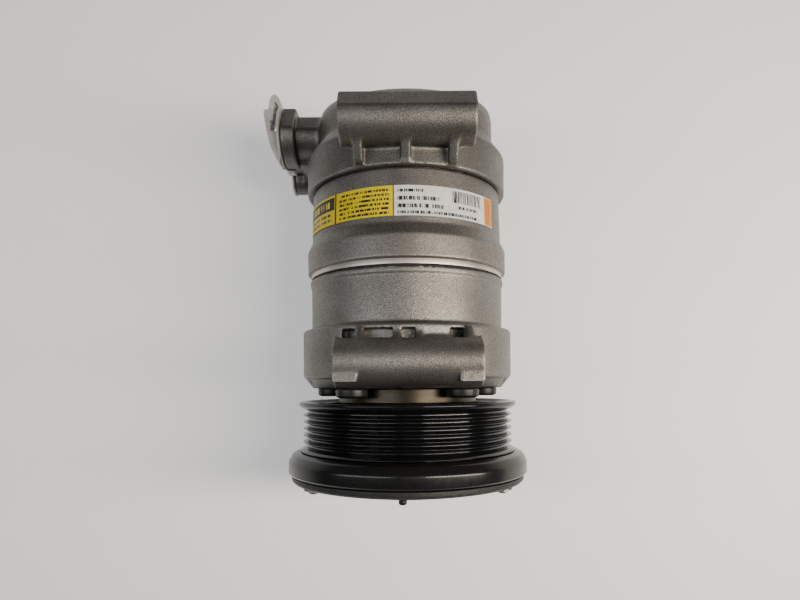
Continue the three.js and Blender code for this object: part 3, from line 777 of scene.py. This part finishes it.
def armature():
    """The plate that the coil pulls in, with its rivets."""
    turned_piece("armature_plate_turned", [
        (34, ARMATURE_FRONT), (58.5, ARMATURE_FRONT), (61.9, 12.1), (63.1, 13.2), (63.1, ARMATURE_REAR),
        (34, ARMATURE_REAR),
    ], "armature", ARMATURE_EDGE, ("armature_plate",),
        radius=[0.4, 0.6, 0.5, 0.5, 0.2, 0.3], sharp=40)
    for index, degrees in enumerate(RIVET_ANGLES):
        turned_piece(f"rivet_domed_{index + 1}", [
            (0, 7.95), (1.2, 8), (2.6, 8.5), (3.3, 9.7), (2.1, 9.7), (2.1, 11.2), (0, 11.2),
        ], "armature", BRIGHT_RIVET, (f"rivet_{index + 1}",), sides=40,
            centre=at(RIVET_PITCH, degrees), radius=[0, 0.6, 0.8, 0.2, 0, 0, 0])


def hub():
    turned_piece("clutch_hub_turned", [
        (6.9, 3.6), (12.5, 3.6), (13.5, 4.6), (13.5, 7), (39, 7), (39, 9.4), (15, 9.4), (13, 12), (13, 22),
        (6.9, 22),
    ], "shaft_group", OXIDE, ("clutch_hub",),
        radius=[0.3, 0.8, 0.6, 1.5, 0.5, 0.5, 1, 1, 0.4, 0.4], sharp=40)


def bolt(index, degrees):
    front = HEAD_FRONT - GAP
    turned_piece(f"through_bolt_turned_{index}", [
        (0, front - 4.5), (6.3, front - 4.5), (7.8, front - 3.6), (8, front - 0.6), (7.7, front), (3, front),
        (3, 180), (0, 180),
    ], "housing", OXIDE, (f"through_bolt_{index}",), sides=48,
        centre=at(BOLT_PITCH, degrees), radius=[0, 1.2, 0.5, 0.3, 0.2, 0.2, 0.3, 0])


def coil_case():
    turned_piece("coil_case_turned", [
        (32.5, 30), (33.8, 30), (33.8, 51.3), (47, 51.3), (47, 30), (48.4, 30), (48.4, 52.4), (47.4, 53.4),
        (37.6, 54), (37.6, 61.2), (32.5, 61.2),
    ], "housing", COIL_STEEL, ("coil_housing",), radius=0.4)


# ---- label ----------------------------------------------------------------------------------

def label_print():
    """Generic colour panels and bars, placed by degrees round the body and by share of the width."""
    s = Shader("label_print")
    s.set(Roughness=0.42, Specular_IOR_Level=0.25)
    split = s.node("ShaderNodeSeparateXYZ")
    s.link(s.place, split.inputs[0])
    angle = s.math("ARCTAN2", split.outputs["X"], split.outputs["Z"])
    across = s.math("MULTIPLY", angle, 180 / math.pi)
    above = s.math("SUBTRACT", split.outputs["Y"], LABEL_LOW * MM)
    height = s.math("MULTIPLY", above, 1 / (LABEL_HIGH - LABEL_LOW) / MM)

    def between(value, lo, hi):
        return s.math("MULTIPLY", s.math("GREATER_THAN", value, lo), s.math("LESS_THAN", value, hi))

    def panel(colour_now, a0, a1, h0, h1, colour):
        inside = s.math("MULTIPLY", between(across, a0, a1), between(height, h0, h1))
        return s.mix(inside, colour_now, colour)

    def words(colour_now, a0, a1, h0, h1, colour, scale, amount):
        """Short dashes that stand for lines of small print, with nothing to read."""
        grain = s.node("ShaderNodeTexNoise", Scale=1.0, Detail=1.0)
        cells = s.node("ShaderNodeCombineXYZ")
        s.link(s.math("MULTIPLY", across, scale), cells.inputs[0])
        s.link(height, cells.inputs[1])
        s.link(cells.outputs[0], grain.inputs["Vector"])
        dashes = s.math("GREATER_THAN", grain.outputs["Fac"], amount)
        inside = s.math("MULTIPLY", between(across, a0, a1), between(height, h0, h1))
        return s.mix(s.math("MULTIPLY", inside, dashes), colour_now, colour)

    yellow, white, ink = (0.72, 0.56, 0.002), (0.74, 0.74, 0.72), (0.02, 0.02, 0.02)
    orange, brown = (0.70, 0.27, 0.035), (0.35, 0.10, 0.02)
    white_from, orange_from = -6.3, 48.5
    now = s.mix(0.0, yellow, yellow)
    now = panel(now, white_from, 90, -1, 2, white)
    now = panel(now, -90, -43, 0.50, 0.93, ink)
    now = words(now, -74, -47, 0.60, 0.82, yellow, 0.8, 0.48)
    for row in range(2):
        now = words(now, -74, -45, 0.12 + 0.18 * row, 0.22 + 0.18 * row, ink, 1.1, 0.50)
    now = panel(now, -42.5, -41.4, 0, 1, ink)
    for row in range(6):
        now = words(now, -39, -9, 0.07 + 0.15 * row, 0.15 + 0.15 * row, ink, 1.3 + 0.1 * row, 0.46)
    now = panel(now, white_from - 0.6, white_from, 0, 1, ink)
    for row, (end, level) in enumerate(((42, 0.06), (20, 0.26), (18, 0.51), (9, 0.78))):
        tall = 0.13 if row in (1, 2) else 0.10
        now = words(now, -4.5, end, level, level + tall, ink, 1.5 + 0.13 * row, 0.46)
    now = words(now, 24.5, 45.5, 0.52, 0.92, ink, 2.6, 0.5)
    now = words(now, 28, 42, 0.32, 0.42, ink, 1.9, 0.46)
    now = panel(now, orange_from, 58, 0.02, 0.98, orange)
    now = words(now, orange_from + 1, 55, 0.05, 0.95, brown, 2.0, 0.52)
    dirt = s.ramp(s.noise(420, 4, 0.6), (0.3, (0.84, 0.83, 0.80)), (0.6, (1, 1, 1)))
    s.colour(s.mix(1.0, now, dirt, "MULTIPLY"))
    s.bump(s.noise(500, 2, 0.5), 0.1, 0.00006)
    return s.material


def label():
    """A thin curved strip that follows the block's draft."""
    points, faces = [], []
    steps, thick = 120, 0.16
    low_radius, high_radius = 51.45, 51.02
    for step in range(steps + 1):
        degrees = LABEL_FIRST + (LABEL_LAST - LABEL_FIRST) * step / steps
        for y, radius in ((LABEL_LOW, low_radius), (LABEL_HIGH, high_radius)):
            for lift in (0, thick):
                x, z = at(radius + lift, degrees)
                points.append((x, y, z))
    for step in range(steps):
        a, b = 4 * step, 4 * step + 4
        for i, j in ((0, 1), (1, 3), (3, 2), (2, 0)):
            faces.append((a + i, a + j, b + j, b + i))
    faces += [(0, 2, 3, 1), (4 * steps, 4 * steps + 1, 4 * steps + 3, 4 * steps + 2)]
    piece("label_strip", points, faces, "housing", label_print(), ("label",), sharp=30)


# ---- shipping cap ---------------------------------------------------------------------------

def shipping_cap():
    """A cover over the port face, with a hollow plug in the suction port and a pull loop outside."""
    x = PORT_OUT - GAP
    wall, rim, plug_end = 1.4, 0.7, x + 4.5

    def field(p):
        px, py, pz = p
        f = port_plate(p, x - wall, x, rim, 0.5)
        f = common(f, block(p, (x - wall, 165, -50), (x, 230, 20), 0.5))
        plug = rod_along(0, p, SUCTION["centre"], SUCTION["port"] - 0.6, x - 1, plug_end, 0.5)
        plug = cut(plug, rod_along(0, p, SUCTION["centre"], SUCTION["port"] - 1.5, x, x + 9, 0.2))
        f = union(f, plug, 0.4)
        outline = [(x - 1, 184), (x - 3.1, 187.1), (x - 6.3, 193.7), (x - 8.3, 201.6), (x - 10.1, 212.8),
                   (x - 9.3, 214), (x - 7.3, 214), (x - 6.4, 219.3), (x - 5.2, 221.4), (x - 3.7, 222.2),
                   (x - 2.3, 221.4), (x - 0.9, 219.3), (x - 0.4, 215)]
        opening = [(x - 3.5, 218.2), (x - 4.7, 208), (x - 6.1, 207.6), (x - 5.7, 202.4),
                   (x - 3.1, 201.8), (x - 2.3, 209.5), (x - 1.9, 213.3), (x - 2, 216)]
        handle = Lathe.outline_distance(rounded(outline, 0.9), px, py)
        hole = Lathe.outline_distance(rounded(opening, 0.5), px, py)
        strip = common(cut(handle, hole, 0.4), np.abs(pz - 1.5) - 4.5, 0.6)
        tab = block(p, (x - 0.8, 185.6, -17), (x + 4.2, 188.0, -11), 1.0)
        return union(union(f, strip, 0.8), tab, 0.8)

    lo = (low("shipping_cap", 0), 179, -47)
    hi = (plug_end, high("shipping_cap", 1), 14)
    points, faces = surface(field, lo, hi, cell=0.45)
    piece("shipping_cap_moulded", points, faces, "cap", CAP_PLASTIC, ("shipping_cap",),
          sharp=60)


# ---- small pieces ---------------------------------------------------------------------------

def spun(p, degrees):
    """The point turned back about the shaft, so that the piece's own axis is +Z."""
    s, c = math.sin(math.radians(degrees)), math.cos(math.radians(degrees))
    return p[0] * c - p[2] * s, p[1], p[0] * s + p[2] * c


def leaf_spring(index, degrees):
    """A flat strip from a rivet in towards the hub, lying 38 degrees off the radius."""
    rear = ARMATURE_FRONT - GAP
    lean, length, half_width, rivet_hole = math.radians(38), 32, 5, 2.4
    end = (-length * math.sin(lean), RIVET_PITCH - length * math.cos(lean))

    def field(p):
        x, y, z = spun(p, degrees)
        t = np.clip((x * end[0] + (z - RIVET_PITCH) * (end[1] - RIVET_PITCH)) / length ** 2, 0, 1)
        off_x, off_z = x - t * end[0], z - RIVET_PITCH - t * (end[1] - RIVET_PITCH)
        across = np.sqrt(off_x ** 2 + off_z ** 2) - half_width
        flat = common(across, np.abs(y - rear + 0.5) - 0.5, 0.25)
        return cut(flat, np.sqrt(x ** 2 + (z - RIVET_PITCH) ** 2) - rivet_hole, 0.2)

    lo, hi = corners(f"leaf_spring_{index}")
    points, faces = surface(field, lo, hi, cell=0.5)
    piece(f"leaf_spring_pressed_{index}", points, faces, "armature", SPRING_STEEL,
          (f"leaf_spring_{index}",), sharp=40)


def coil_connector():
    def field(p):
        q = spun(p, CONNECTOR_ANGLE)
        shell = block(q, (-8, 55.6, 38), (8, 61.2, 61), 1.0)
        for side in (-1, 1):
            shell = union(shell, block(q, (side * 5 - 0.8, 55.7, 44), (side * 5 + 0.8, 61.1, 58), 0.4))
        shell = cut(shell, block(q, (-3, 60.4, 50), (3, 63, 57), 0.4), 0.3)
        shell = cut(shell, block(q, (-6.4, 56.9, 52), (6.4, 59.9, 70), 0.5), 0.3)
        return shell

    lo, hi = corners("coil_connector")
    points, faces = surface(field, lo, hi, cell=0.5)
    piece("coil_connector_moulded", points, faces, "housing", BLACK_PLASTIC,
          ("coil_connector",), sharp=45)


def shaft_nut():
    """A hexagon with its corners turned down."""
    front, rear, flats, corner, bore = 0.8, 3.3, 7.27, 8.4, 4.75

    def field(p):
        x, y, z = p
        sides = [np.abs(x * math.cos(a) + z * math.sin(a)) - flats
                 for a in (math.radians(30), math.radians(90), math.radians(150))]
        hexagon = np.maximum(np.maximum(sides[0], sides[1]), sides[2])
        r = np.sqrt(x ** 2 + z ** 2)
        cone = (r - 7.3 - np.minimum(y - front, rear - y) * 1.7) * 0.5
        f = common(common(hexagon, np.abs(y - 2.05) - 1.25, 0.15), cone, 0.15)
        return cut(f, r - bore, 0.3)

    points, faces = surface(field, (-corner, front, -corner), (corner, rear, corner), cell=0.3)
    piece("shaft_nut_forged", points, faces, "shaft_group", STEEL, ("shaft_nut",))


def small_turned():
    turned_piece("shaft_turned", [
        (0, 0), (3.6, 0), (4.4, 1), (4.4, 9), (6.5, 10), (6.5, 60), (7.6, 62), (7.6, 160), (0, 160),
    ], "shaft_group", STEEL, ("shaft",), sides=96,
        radius=[0, 0.5, 0.4, 0.3, 0.3, 0.5, 0.5, 0.5, 0])
    turned_piece("balance_pin_turned", [
        (0, 8.7), (1.3, 8.7), (1.9, 9.4), (1.9, 11), (0, 11),
    ], "armature", OXIDE, ("balance_pin",), sides=48, centre=at(PIN_PITCH, PIN_ANGLE),
        radius=[0, 0.4, 0.4, 0.1, 0])
    turned_piece("control_valve_turned", [
        (0, 191), (5.5, 191), (5.5, 198), (8, 199), (8, 205), (7.4, 205.4), (7.4, 206.6), (8, 207),
        (8, 210.4), (7.4, 211), (5, 211), (4.4, 210.2), (0, 210.2),
    ], "housing", BRASS, ("control_valve",), sides=96, centre=CONTROL_VALVE, radius=0.2)
    turned_piece("control_valve_clip_turned", [
        (3, 211.3), (8, 211.3), (8, 212.6), (3, 212.6),
    ], "housing", SPRING_STEEL, ("control_valve_clip",), sides=96,
        centre=CONTROL_VALVE, radius=0.35)
    turned_piece("relief_valve_turned", [
        (0, 205), (6, 205), (6, REAR_END + 0.4), (8.6, REAR_END + 0.4), (8.6, REAR_END + 3.2),
        (7.4, REAR_END + 4.4), (3, REAR_END + 4.4), (2.6, REAR_END + 3.6), (0, REAR_END + 3.6),
    ], "housing", BRASS, ("relief_valve",), sides=96, centre=RELIEF_VALVE, radius=0.3)


# ---- CAD nodes that keep their shape get a full material ------------------------------------

def coat_cad():
    by_slot = {
        "cast_aluminium": CAST, "machined_steel": STEEL, "black_paint": PAINT, "black_oxide": OXIDE,
        "seal_rubber": RUBBER, "copper_wire": COPPER, "black_plastic": BLACK_PLASTIC, "brass": BRASS,
        "piston_coating": COATING, "label_paper": BLACK_PLASTIC, "cap_plastic": CAP_PLASTIC,
    }
    slots = {row["node"]: row["material_slot"] for row in frame["record"]["subparts"]}
    for name, obj in frame["nodes"].items():
        obj.data.materials.clear()
        obj.data.materials.append(by_slot[slots[name]])


# ---- stage ----------------------------------------------------------------------------------

FLOOR_GLOW = 0.35
WORLD_LEVEL = 0.09


def area_light(name, place, target, size, power, colour=(1, 1, 1)):
    data = bpy.data.lights.new(name, "AREA")
    data.shape = "RECTANGLE"
    data.size, data.size_y = size
    data.energy = power
    data.color = colour
    light = bpy.data.objects.new(name, data)
    light.location = place
    light.rotation_euler = (Vector(target) - Vector(place)).to_track_quat("-Z", "Y").to_euler()
    bpy.context.scene.collection.objects.link(light)


def stage():
    floor_z = cad_box[0].z - 0.0006
    mesh = bpy.data.meshes.new("floor")
    reach = 4
    mesh.from_pydata([(-reach, -reach, floor_z), (reach, -reach, floor_z), (reach, reach, floor_z),
                      (-reach, reach, floor_z)], [], [(0, 1, 2, 3)])
    floor = bpy.data.objects.new("floor", mesh)
    bpy.context.scene.collection.objects.link(floor)
    s = Shader("floor_paper")
    s.set(Roughness=0.9, Emission_Color=(1, 1, 1, 1), Emission_Strength=FLOOR_GLOW)
    s.colour(s.ramp(s.noise(6, 2, 0.5), (0.3, (0.86, 0.86, 0.86)), (0.7, (0.9, 0.9, 0.9))))
    mesh.materials.append(s.material)
    world = bpy.data.worlds.new("studio")
    world.use_nodes = True
    background = world.node_tree.nodes["Background"]
    background.inputs["Color"].default_value = (1, 1, 1, 1)
    background.inputs["Strength"].default_value = WORLD_LEVEL
    bpy.context.scene.world = world
    middle = (0, 0.1, 0)
    area_light("left_strip", (-0.40, 0.08, 0.52), middle, (0.08, 0.6), 1.4, (0.97, 0.98, 1.0))
    area_light("right_strip", (0.42, 0.06, 0.47), middle, (0.10, 0.6), 5.6, (1.0, 0.91, 0.78))
    area_light("top_fill", (0.1, 0.1, 1.4), middle, (0.4, 0.4), 0.6)


CAMERA_HEIGHT = 0.310            # above the shaft's axis
CAMERA_ALONG = 0.064
CAMERA_ROLL = -0.0066
FOCAL = 0.6975                   # focal length over the frame's width
SENSOR = 36
SHIFT = (-0.0091, 0.104)


def camera():
    data = bpy.data.cameras.new("camera")
    data.sensor_width = SENSOR
    data.lens = SENSOR * FOCAL
    data.shift_x, data.shift_y = SHIFT
    made = bpy.data.objects.new("camera", data)
    made.location = (0, CAMERA_ALONG, CAMERA_HEIGHT)
    made.rotation_euler = (0, 0, CAMERA_ROLL)
    bpy.context.scene.collection.objects.link(made)
    bpy.context.scene.camera = made


coat_cad()
front_head()
cylinder_block()
rear_head()
pulley()
rim_band()
armature()
hub()
for number, bolt_angle in enumerate(BOLT_ANGLES):
    bolt(number + 1, bolt_angle)
coil_case()
label()
shipping_cap()
for number, rivet_angle in enumerate(RIVET_ANGLES):
    leaf_spring(number + 1, rivet_angle)
coil_connector()
shaft_nut()
small_turned()
stage()
camera()
